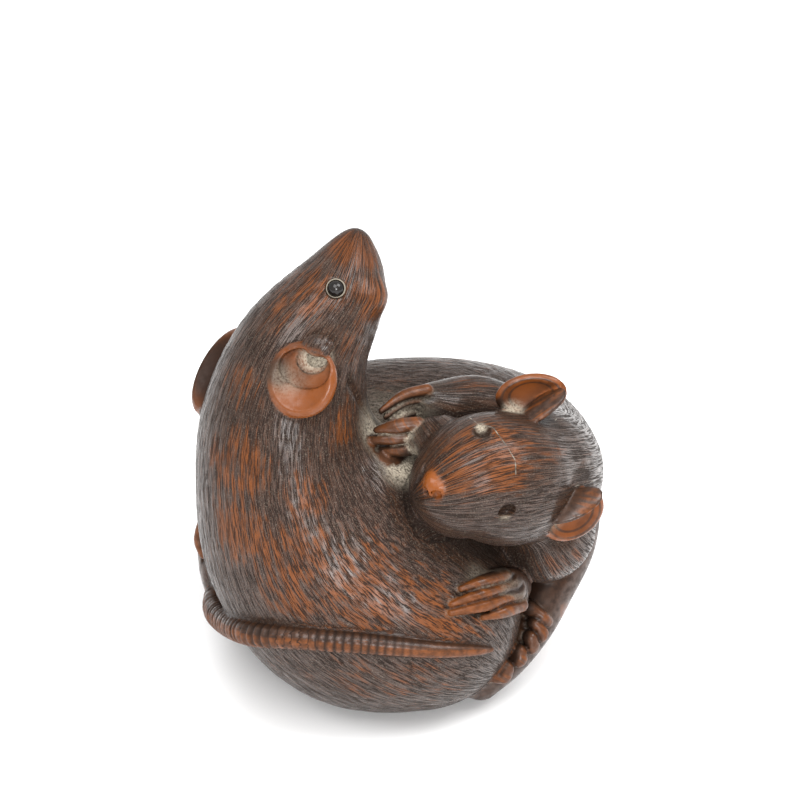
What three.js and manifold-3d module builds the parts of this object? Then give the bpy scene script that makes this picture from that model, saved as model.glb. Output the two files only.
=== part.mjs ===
// Netsuke of two rats, carved from one block of boxwood, with inlaid eyes on the larger rat.
// Millimetres, +Z up. The origin is on the worn flat that the carving rests on.
import * as THREE from 'three';
import { mergeVertices } from 'three/addons/utils/BufferGeometryUtils.js';
import Module from 'manifold-3d';

const wasm = await Module();
wasm.setup();

// Driving dimensions
const EYE_RADIUS = 0.72;
const SOCKET_RADIUS = 0.98;
const EMPTY_SOCKET_RADIUS = 0.8;
const CORD_HOLE_RADIUS = 1.5;
const WIDE_CORD_HOLE_RADIUS = 1.8;
const UNDERSIDE_CUT = 80;
// The middle of an ear's hollow is this far from the middle of the ear, and the hollow is this deep each way,
// both as shares of the ear's own half thickness.
const HOLLOW_SHIFT = 0.95;
const HOLLOW_DEPTH = 1.15;

// How finely each kind of form is faceted: sides round a limb, steps along it between two stations,
// and steps round and down a sphere.
const DIGIT_SIDES = 6;
const TAIL_SIDES = 6;
const HAND_SIDES = 8;
const TUNNEL_SIDES = 8;
const FOOT_SIDES = 10;
const ARM_SIDES = 12;
const BODY_SIDES = 18;
const SIDES_PER_CAP_STEP = 5;
const DIGIT_STEPS = 1;
const LIMB_STEPS = 2;
const TAIL_STEPS = 3;
const EAR_FACETS = [12, 6];
const MASS_FACETS = [16, 9];
const SMALL_FACETS = [9, 5];
const SAME_PLACE = 1e-4;

// A limb's stations are [x, y, z, radius], from its first end to its last.
const BIG_RAT_SPINE = [
  [1.6, -5.0, 8.0, 8.5],
  [-3.5, -4.8, 10.4, 10.5],
  [-7.5, -4.2, 15.0, 9.7],
  [-9.5, -3.3, 21.2, 8.3],
  [-9.9, -2.2, 26.7, 7.2],
  [-8.5, -0.5, 32.1, 5.75],
  [-5.2, 2.3, 36.5, 3.95],
  [-4.1, 4.0, 39.4, 2.0],
  [-3.8, 4.6, 40.7, 0.7],
];
const SMALL_RAT_SPINE = [
  [9.1, -6.5, 23.0, 5.6],
  [11.4, -3.0, 21.2, 5.8],
  [11.6, 2.0, 18.5, 6.3],
  [8.5, 8.0, 15.7, 8.1],
  [2.7, 12.5, 13.9, 8.3],
  [-4.5, 12.8, 12.4, 8.6],
  [-8.8, 9.0, 11.1, 8.1],
  [-10.8, 5.0, 9.5, 7.4],
  [-11.8, 2.0, 6.6, 5.4],
];
const SMALL_RAT_HEAD = [
  [5.3, -9.2, 24.0, 4.55],
  [6.9, -8.5, 24.5, 5.35],
  [8.9, -7.3, 23.5, 5.8],
  [10.1, -5.0, 22.2, 5.7],
];
const FRONT_TAIL = [
  [-15.1, 5.0, 6.8, 1.5],
  [-16.0, 0.8, 6.3, 1.42],
  [-16.0, -3.2, 6.6, 1.3],
  [-13.2, -11.9, 10.6, 1.15],
  [-8.7, -14.8, 12.0, 1.0],
  [-3.5, -15.7, 12.1, 0.9],
  [2.6, -15.5, 11.3, 0.72],
  [6.2, -14.2, 10.3, 0.5],
  [7.9, -12.8, 9.4, 0.3],
];
const BACK_TAIL = [
  [9.5, -1.0, 2.4, 1.7],
  [12.9, 5.0, 2.6, 1.7],
  [13.2, 11.5, 2.6, 1.55],
  [9.3, 17.0, 2.7, 1.35],
  [2.0, 19.0, 2.8, 1.15],
  [-6.0, 19.2, 2.9, 0.9],
  [-12.0, 16.8, 3.1, 0.6],
  [-14.2, 13.6, 3.4, 0.4],
];
const HIND_FOOT = [
  [15.9, 2.0, 15.2, 2.0],
  [15.2, 0.2, 11.6, 2.1],
  [13.1, -2.0, 8.5, 2.3],
  [11.5, -4.2, 6.3, 2.2],
  [9.3, -6.2, 4.2, 2.1],
  [7.1, -7.6, 2.5, 1.8],
];

// A limb is a capsule bent along a smooth spine, its girth following the stations' radii.
// The straight capsule stands from -HALF to HALF, with its round ends beyond.
const HALF = 0.5;
function limb(stations, sides, stepsEach = LIMB_STEPS) {
  const steps = stepsEach * (stations.length - 1);
  const spinePoints = stations.map(([x, y, z]) => new THREE.Vector3(x, y, z));
  const girthPoints = stations.map((station) => new THREE.Vector3(station[3], 0, 0));
  const spine = new THREE.CatmullRomCurve3(spinePoints, false, 'catmullrom', 0.5);
  const girth = new THREE.CatmullRomCurve3(girthPoints, false, 'catmullrom', 0.5);
  const { tangents, normals, binormals } = spine.computeFrenetFrames(steps);
  const capSteps = Math.round(sides / SIDES_PER_CAP_STEP);
  const geometry = new THREE.CapsuleGeometry(1, 2 * HALF, capSteps, sides, steps);
  const vertices = geometry.attributes.position;
  const vertex = new THREE.Vector3();
  for (let i = 0; i < vertices.count; i++) {
    vertex.fromBufferAttribute(vertices, i);
    const along = THREE.MathUtils.clamp(vertex.y + HALF, 0, 1);
    const beyondEnd = vertex.y + HALF - along;
    const step = Math.round(along * steps);
    const radius = girth.getPoint(spine.getUtoTmapping(along)).x;
    const place = spine.getPointAt(along);
    place.addScaledVector(normals[step], vertex.x * radius);
    place.addScaledVector(tangents[step], beyondEnd * radius);
    place.addScaledVector(binormals[step], -vertex.z * radius);
    vertices.setXYZ(i, place.x, place.y, place.z);
  }
  return geometry;
}

// An egg is a sphere stretched to half sizes along an axis, along its face and across both.
function egg(centre, halfSizes, facets = MASS_FACETS, axis = [1, 0, 0], face = [0, 0, 1]) {
  const geometry = new THREE.SphereGeometry(1, facets[0], facets[1]);
  const first = new THREE.Vector3(...axis).normalize();
  const second = new THREE.Vector3(...face);
  second.addScaledVector(first, -second.dot(first)).normalize();
  const third = new THREE.Vector3().crossVectors(first, second);
  geometry.scale(...halfSizes);
  geometry.applyMatrix4(new THREE.Matrix4().makeBasis(first, second, third));
  geometry.translate(...centre);
  return geometry;
}

function solid(geometry) {
  const bare = geometry.clone();
  bare.deleteAttribute('normal');
  bare.deleteAttribute('uv');
  const merged = mergeVertices(bare, SAME_PLACE);
  return new wasm.Manifold(new wasm.Mesh({
    numProp: 3,
    vertProperties: new Float32Array(merged.attributes.position.array),
    triVerts: new Uint32Array(merged.index.array),
  }));
}

const joined = (first, geometries) => geometries.reduce((whole, part) => whole.add(solid(part)), first);
const hollowed = (first, geometries) => geometries.reduce((whole, part) => whole.subtract(solid(part)), first);

// An ear is a thick oval dish, hollowed on the side that it opens towards.
function ear({ centre, axis, opening, length, width, thickness, rim }) {
  const outer = egg(centre, [length, thickness, width], EAR_FACETS, axis, opening);
  const first = new THREE.Vector3(...axis).normalize();
  const second = new THREE.Vector3(...opening);
  second.addScaledVector(first, -second.dot(first)).normalize();
  const middle = new THREE.Vector3(...centre).addScaledVector(second, HOLLOW_SHIFT * thickness);
  const hollow = [length - rim, HOLLOW_DEPTH * thickness, width - rim];
  return { outer, dish: egg(middle.toArray(), hollow, EAR_FACETS, axis, opening) };
}

const EARS = [
  { centre: [-8.3, -6.9, 33.2], axis: [0.18, 0.52, 0.83], opening: [-0.24, -0.77, 0.59],
    length: 3.25, width: 3.05, thickness: 1.5, rim: 0.5 },
  { centre: [-15.5, 1.2, 29.1], axis: [0.48, 0.47, 0.74], opening: [-0.58, -0.53, 0.62],
    length: 4.2, width: 2.3, thickness: 1.3, rim: 0.5 },
  { centre: [11.3, -3.2, 29.4], axis: [0.99, 0.06, 0.1], opening: [-0.05, -0.97, 0.22],
    length: 3.1, width: 1.95, thickness: 1.0, rim: 0.5 },
  { centre: [14.9, -8.0, 20.3], axis: [0.89, 0.42, 0.18], opening: [0.17, -0.99, 0.02],
    length: 3.0, width: 2.5, thickness: 1.0, rim: 0.5 },
].map(ear);

// A paw is a fan of tapering digits: each runs from a knuckle over a middle joint to its tip.
// Every row of joints is shared out evenly between the first digit and the last.
function paw({ knuckles, middles, tips, count, radius, tipRadius }) {
  return Array.from({ length: count }, (_, i) => {
    const share = i / (count - 1);
    const between = ([first, last]) => first.map((value, axis) => value + share * (last[axis] - value));
    const stations = [
      [...between(knuckles), radius],
      [...between(middles), radius],
      [...between(tips), tipRadius],
    ];
    return limb(stations, DIGIT_SIDES, DIGIT_STEPS);
  });
}

const PAWS = [
  // small rat's near forepaw, on the big rat's haunch
  { knuckles: [[8.9, -9.7, 15.0], [10.5, -9.6, 11.9]], middles: [[7.1, -11.4, 15.5], [8.3, -12.2, 12.9]],
    tips: [[5.0, -12.6, 15.4], [5.6, -13.5, 13.1]], count: 4, radius: 0.6, tipRadius: 0.32 },
  // small rat's far forepaw, against the big rat's chest
  { knuckles: [[2.3, -1.0, 28.5], [1.4, -1.0, 26.5]], middles: [[0.3, -2.0, 28.5], [0.6, -2.0, 27.0]],
    tips: [[-1.6, -3.2, 27.8], [-0.1, -3.2, 26.8]], count: 4, radius: 0.65, tipRadius: 0.34 },
  // small rat's paw under its chin
  { knuckles: [[1.5, -5.4, 27.8], [1.6, -5.4, 25.5]], middles: [[-0.4, -5.6, 27.7], [-0.3, -5.6, 25.4]],
    tips: [[-2.4, -5.4, 27.1], [-2.1, -5.4, 25.1]], count: 3, radius: 0.75, tipRadius: 0.36 },
  // small rat's hind foot, beside the root of its tail
  { knuckles: [[-17.1, 1.8, 8.9], [-17.2, 4.2, 8.4]], middles: [[-17.6, 1.9, 11.0], [-17.5, 4.8, 9.8]],
    tips: [[-17.3, 2.0, 13.4], [-17.1, 5.1, 11.4]], count: 4, radius: 0.58, tipRadius: 0.36 },
  // big rat's hind foot, low at the side
  { knuckles: [[11.6, -5.4, 8.7], [9.3, -8.9, 4.7]], middles: [[12.6, -5.9, 8.0], [9.2, -9.1, 4.1]],
    tips: [[12.9, -5.9, 7.2], [8.6, -9.2, 3.7]], count: 5, radius: 0.72, tipRadius: 0.6 },
  // big rat's far forepaw, on the small rat's back
  { knuckles: [[-9.3, 11.0, 20.6], [-6.7, 11.0, 20.5]], middles: [[-9.8, 13.2, 20.4], [-6.2, 13.2, 20.5]],
    tips: [[-10.2, 15.6, 19.3], [-5.8, 15.6, 19.6]], count: 4, radius: 0.62, tipRadius: 0.34 },
];

const bodies = [
  limb(BIG_RAT_SPINE, BODY_SIDES),
  egg([1.2, -6.5, 9.9], [9.2, 8.6, 8.8]),
  egg([-0.7, -4.0, 18.6], [5.9, 5.9, 5.9]),
  limb(SMALL_RAT_SPINE, BODY_SIDES),
  limb(SMALL_RAT_HEAD, BODY_SIDES),
  egg([12.3, -2.2, 15.0], [4.9, 4.7, 5.0]),
  egg([-6.2, 12.0, 9.0], [8.8, 8.5, 9.5]),
  egg([2.0, 3.0, 5.0], [9.5, 12.0, 8.0]),
  egg([6.0, 11.0, 6.5], [8.0, 8.0, 7.5]),
];
// The small rat's far arm and the hand under its chin, the big rat's far arm, and the small rat's near hand.
const ARMS = [
  [[9.0, 2.5, 23.5, 3.0], [6.4, 1.5, 24.9, 3.1], [3.7, 0.0, 26.0, 2.5], [2.4, -0.6, 27.2, 1.5]],
  [[3.6, -6.0, 26.6, 2.2], [2.1, -5.5, 26.5, 1.6]],
  [[-7.5, 3.0, 20.0, 3.0], [-8.5, 7.0, 20.5, 2.4], [-8.0, 10.5, 20.6, 1.6]],
];
const NEAR_HAND = [
  [[10.5, -6.3, 11.4, 1.0], [9.6, -8.6, 13.7, 1.25], [8.2, -10.0, 14.9, 0.85]],
  [[10.4, -7.5, 11.0, 0.8], [9.8, -9.3, 13.1, 1.15], [8.4, -10.6, 14.2, 0.9]],
];
const smallHindFoot = egg([-17.1, 2.2, 7.4], [3.0, 0.8, 1.8], SMALL_FACETS, [-0.19, 0.49, 0.85], [-1, 0, 0]);
const limbs = [
  limb(HIND_FOOT, FOOT_SIDES),
  ...ARMS.map((arm) => limb(arm, ARM_SIDES)),
  ...NEAR_HAND.map((side) => limb(side, HAND_SIDES)),
  smallHindFoot,
];
const tails = [FRONT_TAIL, BACK_TAIL].map((tail) => limb(tail, TAIL_SIDES, TAIL_STEPS));
// The small rat's nose, and the tuft of hair in front of each of its ears
const trim = [
  egg([3.2, -11.8, 26.2], [1.15, 1.0, 0.9], SMALL_FACETS, [0.24, 0.51, 0.82], [-0.68, -0.52, 0.52]),
  egg([12.3, -4.4, 29.2], [2.1, 0.42, 1.0], SMALL_FACETS, [0.8, 0.38, 0.46], [-0.51, -0.19, 0.84]),
  egg([14.9, -9.0, 22.2], [2.3, 0.5, 1.25], SMALL_FACETS, [0.94, 0.25, 0.23], [-0.29, -0.22, 0.93]),
];

// The big rat's eyes are inlaid; the small rat's have dropped out and leave bare sockets.
const EYES = { eye_near: [-5.5, -0.9, 38.7], eye_far: [-8.1, 4.3, 37.1] };
const EMPTY_SOCKETS = [[7.0, -9.5, 29.8], [9.1, -13.6, 24.2]];
const socket = (place, radius) => egg(place, [radius, radius, radius], SMALL_FACETS);
const sockets = [
  ...Object.values(EYES).map((place) => socket(place, SOCKET_RADIUS)),
  ...EMPTY_SOCKETS.map((place) => socket(place, EMPTY_SOCKET_RADIUS)),
];
const earHole = egg([-7.1, -5.4, 34.5], [1.2, 0.8, 1.5], SMALL_FACETS, [0.98, -0.1, -0.17], [0.2, 0.52, 0.83]);

// Two cord holes open in the underside and meet inside, so that a cord can be threaded through.
const cordTunnel = limb([
  [-3.5, -5.0, -2.0, CORD_HOLE_RADIUS],
  [-3.0, -4.4, 3.0, CORD_HOLE_RADIUS],
  [0.0, -1.0, 5.5, CORD_HOLE_RADIUS],
  [3.5, 3.0, 3.0, WIDE_CORD_HOLE_RADIUS],
  [4.0, 3.6, -2.0, WIDE_CORD_HOLE_RADIUS],
], TUNNEL_SIDES);
const belowUnderside = new THREE.BoxGeometry(UNDERSIDE_CUT, UNDERSIDE_CUT, UNDERSIDE_CUT);
belowUnderside.translate(0, 0, -UNDERSIDE_CUT / 2);

function carve() {
  let block = joined(solid(bodies[0]), [...bodies.slice(1), ...limbs]);
  block = joined(block, EARS.map(({ outer }) => outer));
  block = hollowed(block, [...EARS.map(({ dish }) => dish), earHole]);
  block = joined(block, [...PAWS.flatMap(paw), ...tails, ...trim]);
  return hollowed(block, [...sockets, cordTunnel, belowUnderside]);
}

function toGeometry(manifold) {
  const mesh = manifold.getMesh();
  const geometry = new THREE.BufferGeometry();
  geometry.setAttribute('position', new THREE.BufferAttribute(mesh.vertProperties, 3));
  geometry.setIndex(new THREE.BufferAttribute(mesh.triVerts, 1));
  geometry.computeVertexNormals();
  return geometry;
}

const boxwood = new THREE.MeshStandardMaterial({ color: 0x5a3622, roughness: 0.5, metalness: 0 });
const eyeInlay = new THREE.MeshStandardMaterial({ color: 0x0c0a0a, roughness: 0.12, metalness: 0 });

const group = new THREE.Group();
const carving = new THREE.Mesh(toGeometry(carve()), boxwood);
carving.name = 'rats_carving';
group.add(carving);
for (const [name, place] of Object.entries(EYES)) {
  const eye = new THREE.Mesh(new THREE.SphereGeometry(EYE_RADIUS, ...SMALL_FACETS), eyeInlay);
  eye.name = name;
  eye.position.set(...place);
  group.add(eye);
}

export default group;
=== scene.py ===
"""Netsuke of two rats: the engraved boxwood carving, its inlaid eyes, and the pale table it stands on.

The carving's forms are in millimetres, in the frame's own axes, and become metres when its mesh is made.
The big rat sits upright with its nose up. The small rat curls round behind it and rests its head on its lap.
"""

import math

import bpy
import numpy as np
from mathutils import Matrix, Vector


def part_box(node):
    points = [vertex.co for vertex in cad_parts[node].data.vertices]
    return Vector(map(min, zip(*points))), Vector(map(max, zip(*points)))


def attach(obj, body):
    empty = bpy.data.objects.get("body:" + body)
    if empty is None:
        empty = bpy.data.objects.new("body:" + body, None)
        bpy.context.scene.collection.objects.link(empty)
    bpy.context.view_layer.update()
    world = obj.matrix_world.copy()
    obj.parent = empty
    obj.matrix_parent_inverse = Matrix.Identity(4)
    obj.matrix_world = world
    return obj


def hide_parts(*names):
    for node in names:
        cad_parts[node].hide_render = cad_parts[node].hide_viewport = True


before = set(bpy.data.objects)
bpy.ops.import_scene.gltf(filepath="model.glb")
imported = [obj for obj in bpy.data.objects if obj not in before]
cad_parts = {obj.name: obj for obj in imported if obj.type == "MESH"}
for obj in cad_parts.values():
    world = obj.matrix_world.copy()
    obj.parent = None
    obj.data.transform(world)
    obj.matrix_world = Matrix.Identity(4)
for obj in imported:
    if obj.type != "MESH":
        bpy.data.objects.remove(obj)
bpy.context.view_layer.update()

MM = 0.001
CELL = 0.2  # edge of the cells that the carving's surface is found in, mm
FIRST_BLOCK = 8  # cells in one edge of a block of the first, rough search
MOST_TRIANGLES = 196000
FAR = 6.0  # distance given to anything that a form doesn't reach, mm
WIDE = 99.0  # more than the carving measures any way, mm
CURVE_STEPS = 6  # points of a smooth curve from one station to the next, unless a limb states its own

# ---------------------------------------------------------------- forms of the carving
# A limb's stations are [x, y, z, radius], from its first end to its last.
BIG_RAT_SPINE = [
    [1.6, -5.0, 8.0, 8.5],
    [-3.5, -4.8, 10.4, 10.5],
    [-7.5, -4.2, 15.0, 9.7],
    [-9.5, -3.3, 21.2, 8.3],
    [-9.9, -2.2, 26.7, 7.2],
    [-8.5, -0.5, 32.1, 5.75],
    [-5.2, 2.3, 36.5, 3.95],
    [-4.1, 4.0, 39.4, 2.0],
    [-3.8, 4.6, 40.7, 0.7],
]
SMALL_RAT_SPINE = [
    [9.1, -6.5, 23.0, 5.6],
    [11.4, -3.0, 21.2, 5.8],
    [11.6, 2.0, 18.5, 6.3],
    [8.5, 8.0, 15.7, 8.1],
    [2.7, 12.5, 13.9, 8.3],
    [-4.5, 12.8, 12.4, 8.6],
    [-8.8, 9.0, 11.1, 8.1],
    [-10.8, 5.0, 9.5, 7.4],
    [-11.8, 2.0, 6.6, 5.4],
]
SMALL_RAT_HEAD = [
    [5.3, -9.2, 24.0, 4.55],
    [6.9, -8.5, 24.5, 5.35],
    [8.9, -7.3, 23.5, 5.8],
    [10.1, -5.0, 22.2, 5.7],
]
FRONT_TAIL = [
    [-15.1, 5.0, 6.8, 1.5],
    [-16.0, 0.8, 6.3, 1.42],
    [-16.0, -3.2, 6.6, 1.3],
    [-13.2, -11.9, 10.6, 1.15],
    [-8.7, -14.8, 12.0, 1.0],
    [-3.5, -15.7, 12.1, 0.9],
    [2.6, -15.5, 11.3, 0.72],
    [6.2, -14.2, 10.3, 0.5],
    [7.9, -12.8, 9.4, 0.25],
]
BACK_TAIL = [
    [9.5, -1.0, 2.4, 1.7],
    [12.9, 5.0, 2.6, 1.7],
    [13.2, 11.5, 2.6, 1.55],
    [9.3, 17.0, 2.7, 1.35],
    [2.0, 19.0, 2.8, 1.15],
    [-6.0, 19.2, 2.9, 0.9],
    [-12.0, 16.8, 3.1, 0.6],
    [-14.2, 13.6, 3.4, 0.35],
]
HIND_FOOT = [
    [15.9, 2.0, 15.2, 2.0],
    [15.2, 0.2, 11.6, 2.1],
    [13.1, -2.0, 8.5, 2.3],
    [11.5, -4.2, 6.3, 2.2],
    [9.3, -6.2, 4.2, 2.1],
    [7.1, -7.6, 2.5, 1.8],
]
SMALL_FAR_ARM = [
    [9.0, 2.5, 23.5, 3.0],
    [6.4, 1.5, 24.9, 3.1],
    [3.7, 0.0, 26.0, 2.5],
    [2.4, -0.6, 27.2, 1.5],
]
BIG_FAR_ARM = [[-7.5, 3.0, 20.0, 3.0], [-8.5, 7.0, 20.5, 2.4], [-8.0, 10.5, 20.6, 1.6]]
CHIN_HAND = [[3.6, -6.0, 26.6, 2.2], [2.1, -5.5, 26.5, 1.6]]
NEAR_HAND = [
    [[10.5, -6.3, 11.4, 1.0], [9.6, -8.6, 13.7, 1.25], [8.2, -10.0, 14.9, 0.85]],
    [[10.4, -7.5, 11.0, 0.8], [9.8, -9.3, 13.1, 1.15], [8.4, -10.6, 14.2, 0.9]],
]
CORD_TUNNEL = [
    [-3.5, -5.0, -2.0, 1.5],
    [-3.0, -4.4, 3.0, 1.5],
    [0.0, -1.0, 5.5, 1.5],
    [3.5, 3.0, 3.0, 1.8],
    [4.0, 3.6, -2.0, 1.8],
]

# Swellings that fill the bodies out: [centre], [half sizes], mm
BIG_HAUNCH = [1.2, -6.5, 9.9], [9.2, 8.6, 8.8]
BIG_LAP = [-0.7, -4.0, 18.6], [5.5, 5.5, 5.5]
BIG_CHIN = [-2.6, 0.7, 36.9], [1.5, 1.5, 1.8]
SMALL_SHOULDER = [12.3, -2.2, 15.0], [4.9, 4.7, 5.0]
SMALL_HAUNCH = [-6.2, 12.0, 9.0], [8.8, 8.5, 9.5]
SMALL_BELLY = [2.0, 3.0, 5.0], [9.5, 12.0, 8.0]
SMALL_FLANK = [6.0, 11.0, 6.5], [8.0, 8.0, 7.5]

# The hair of each coat lies along its own comb line, which starts at the nose or the shoulder.
COMB_LINES = {
    "big coat": [
        [-3.6, 4.8, 41.5], [-5.2, 2.3, 36.5], [-8.5, -0.5, 32.1], [-9.9, -2.2, 26.7],
        [-9.5, -3.3, 21.2], [-6.8, -4.4, 14.6], [-0.5, -5.4, 8.6], [8.0, -6.0, 3.0], [17.0, -7.0, -2.0],
    ],
    "small coat": [
        [0.6, -10.4, 23.2], [5.3, -7.0, 22.9], [9.1, -5.0, 22.2], [11.4, -2.6, 21.0], [11.6, 2.0, 18.5],
        [8.5, 8.0, 15.7], [2.7, 12.5, 13.9], [-4.5, 12.8, 12.4], [-8.8, 9.0, 11.1], [-11.8, 2.0, 6.6],
    ],
    "small arm": [row[:3] for row in SMALL_FAR_ARM],
    "big arm": [row[:3] for row in BIG_FAR_ARM],
    "front tail": [row[:3] for row in FRONT_TAIL],
    "back tail": [row[:3] for row in BACK_TAIL],
}
TAIL_RING = 0.72  # one ring of a tail, mm
RING_DEPTH = 0.14  # how deep the groove between two rings goes near the root, as a share of the radius
RING_FADE = [22.0, 34.0]  # from here to there along a tail its rings grow shallow, mm
SHALLOW_RING = 0.1  # depth of the rings that are left beyond, as a share of the full depth
GROOVE_SHARPNESS = 3.0  # the higher, the narrower the grooves between rings


def smooth_line(stations, steps=CURVE_STEPS):
    """Points of a smooth curve through the stations, with so many steps between each two."""
    rows = np.asarray(stations, float)
    rows = np.vstack([2 * rows[0] - rows[1], rows, 2 * rows[-1] - rows[-2]])
    share = np.linspace(0, 1, steps, endpoint=False)[:, None]
    spans = []
    for before, start, end, after in zip(rows, rows[1:], rows[2:], rows[3:]):
        straight = end - before
        bend = 2 * before - 5 * start + 4 * end - after
        twist = 3 * start - before - 3 * end + after
        spans.append(start + 0.5 * (straight * share + bend * share**2 + twist * share**3))
    return np.vstack([*spans, rows[-2][None]])


def lengths_along(line):
    """How far along a line each of its points is."""
    steps = np.linalg.norm(np.diff(line, axis=0), axis=1)
    return np.concatenate([[0.0], np.cumsum(steps)])


def ring_depth(along):
    """Depth of a tail's rings, as a share of its radius; they fade out towards the tip."""
    return RING_DEPTH * np.interp(along, RING_FADE, [1.0, SHALLOW_RING])


def unit(vector):
    """The same direction, one long."""
    vector = np.asarray(vector, float)
    return vector / np.linalg.norm(vector)


def within(points, low, high):
    """Which points are inside a box."""
    inside = (points[:, 0] > low[0]) & (points[:, 0] < high[0])
    for axis in (1, 2):
        inside &= (points[:, axis] > low[axis]) & (points[:, axis] < high[axis])
    return inside


class Limb:
    """A round limb along a smooth line. A tail has rings, each a little swelling.

    felt is how far out from the limb its distance is reckoned, mm.
    """

    def __init__(self, stations, steps=CURVE_STEPS, ringed=False, felt=2.5):
        line = smooth_line(stations, steps)
        self.middle, self.radius = line[:, :3], np.maximum(line[:, 3], 0.05)
        self.along = lengths_along(self.middle)
        self.ringed, self.felt = ringed, felt
        self.low = self.middle.min(0) - self.radius.max()
        self.high = self.middle.max(0) + self.radius.max()

    def follow(self, points):
        """Distance from the limb and place along it: true where the limb is felt, and FAR beyond."""
        nearest, along = np.full(len(points), FAR), np.zeros(len(points))
        for i in range(len(self.middle) - 1):
            ends = self.middle[i:i + 2]
            margin = self.radius[i:i + 2].max() + self.felt
            near = np.flatnonzero(within(points, ends.min(0) - margin, ends.max(0) + margin))
            start, run = ends[0], ends[1] - ends[0]
            from_start = points[near] - start
            share = np.clip(from_start @ run / (run @ run), 0, 1)
            radius = self.radius[i] + share * (self.radius[i + 1] - self.radius[i])
            here = self.along[i] + share * (self.along[i + 1] - self.along[i])
            if self.ringed:
                groove = np.abs(np.cos(math.pi * here / TAIL_RING)) ** GROOVE_SHARPNESS
                radius = radius * (1 - ring_depth(here) * groove)
            from_start -= share[:, None] * run
            gap = np.sqrt(np.einsum("ij,ij->i", from_start, from_start)) - radius
            closer = gap < nearest[near]
            nearest[near[closer]], along[near[closer]] = gap[closer], here[closer]
        return nearest, along

    def distance(self, points):
        return self.follow(points)[0]


class Egg:
    """A sphere stretched to half sizes along an axis, along its face and across both."""

    def __init__(self, centre, half_sizes, axis=(1, 0, 0), face=(0, 0, 1)):
        self.centre, self.half = np.asarray(centre, float), np.asarray(half_sizes, float)
        first = unit(axis)
        second = unit(np.asarray(face, float) - np.dot(face, first) * first)
        self.turn = np.stack([first, second, np.cross(first, second)])
        spread = np.sqrt(((self.turn * self.half[:, None]) ** 2).sum(0))
        self.low, self.high = self.centre - spread, self.centre + spread

    def at(self, along, out, across):
        """The place so far from the centre along the axis, out of the face and across both."""
        return self.centre + np.array([along, out, across]) @ self.turn

    def distance(self, points):
        across = (points - self.centre) @ self.turn.T
        size = np.sqrt(((across / self.half) ** 2).sum(1))
        slope = np.sqrt(((across / self.half**2) ** 2).sum(1))
        return size * (size - 1) / np.maximum(slope, 1e-9)


class Plug(Egg):
    """An oval cutter with straight walls and a flat end; its half sizes are as an egg's."""

    def distance(self, points):
        flat = (points - self.centre) @ self.turn.T
        through = np.abs(flat[:, 1]) - self.half[1]
        flat[:, 1] = 0
        size = np.sqrt(((flat / self.half) ** 2).sum(1))
        slope = np.sqrt(((flat / self.half**2) ** 2).sum(1))
        return np.maximum(size * (size - 1) / np.maximum(slope, 1e-9), through)


class Flat:
    """Everything below the worn flat that the carving rests on."""

    low, high = np.array([-WIDE, -WIDE, -WIDE]), np.array([WIDE, WIDE, 0.0])

    def distance(self, points):
        return points[:, 2]


CARVING = []  # each step: (form, softness of the join in mm, finish, whether it takes wood away)


def add(form, soft, finish):
    """Joins a form on to what is there."""
    CARVING.append((form, soft, finish, False))


def take(form, soft, finish):
    """Cuts a form out of what is there."""
    CARVING.append((form, soft, finish, True))


def carve_bodies():
    add(Limb(BIG_RAT_SPINE, felt=5.5), 0.6, "big coat")
    add(Egg(*BIG_HAUNCH), 2.0, "big coat")
    add(Egg(*BIG_LAP), 5.0, "big coat")
    add(Egg(*BIG_CHIN), 0.9, "big coat")
    add(Limb(SMALL_RAT_SPINE), 0.6, "small coat")
    add(Egg(*SMALL_SHOULDER), 1.5, "small coat")
    add(Limb(SMALL_RAT_HEAD, 5), 0.5, "small coat")
    add(Egg(*SMALL_HAUNCH), 1.2, "small coat")
    add(Egg(*SMALL_BELLY), 2.0, "small coat")
    add(Egg(*SMALL_FLANK), 2.0, "small coat")
    add(Limb(HIND_FOOT, 5), 0.6, "skin")
    add(Limb(SMALL_FAR_ARM, 5), 0.4, "small arm")
    add(Limb(BIG_FAR_ARM, 5), 0.8, "big arm")
    add(Limb(CHIN_HAND, 3), 0.4, "small arm")


# Each ear: its middle, the way that it lies and the way that its hollow faces; half of its length,
# thickness and width; the rim left round the hollow; the hollow's depth, to the ear's half thickness;
# and the softness of its join.
BIG_NEAR_EAR = {
    "centre": [-8.3, -6.9, 33.2], "axis": [0.18, 0.52, 0.83], "face": [-0.25, -0.8, 0.55],
    "half_sizes": [3.25, 1.2, 3.05], "rim": 0.25, "depth": 0.9, "soft": 0.35,
}
BIG_FAR_EAR = {
    "centre": [-15.5, 1.2, 29.1], "axis": [0.48, 0.47, 0.74], "face": [-0.55, -0.5, 0.67],
    "half_sizes": [4.2, 1.2, 2.3], "rim": 0.3, "depth": 0.95, "soft": 0.5,
}
SMALL_FAR_EAR = {
    "centre": [11.3, -3.2, 29.4], "axis": [0.99, 0.06, 0.1], "face": [0.04, -0.97, 0.23],
    "half_sizes": [3.1, 0.75, 1.95], "rim": 0.2, "depth": 0.95, "soft": 0.25,
}
SMALL_NEAR_EAR = {
    "centre": [14.9, -8.0, 20.3], "axis": [0.89, 0.42, 0.18], "face": [0.41, -0.91, 0.07],
    "half_sizes": [3.0, 0.8, 2.5], "rim": 0.2, "depth": 0.95, "soft": 0.25,
}
HOLLOW_LIFT = 0.95  # how far the hollow's middle stands out of the ear, to the ear's half thickness
HOLLOW_SOFTNESS = 0.12  # mm
# Steps down into the big rat's near ear: [along, across, half length, half width, floor], from its middle.
EAR_STEPS = [[1.0, 0.1, 1.7, 2.3, -0.14], [1.75, 0.45, 1.1, 1.35, -0.4], [2.05, 0.8, 0.75, 0.9, -0.95]]
STEP_TOP = 1.0  # how far above the ear's middle the cutters of its steps begin, mm
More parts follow.
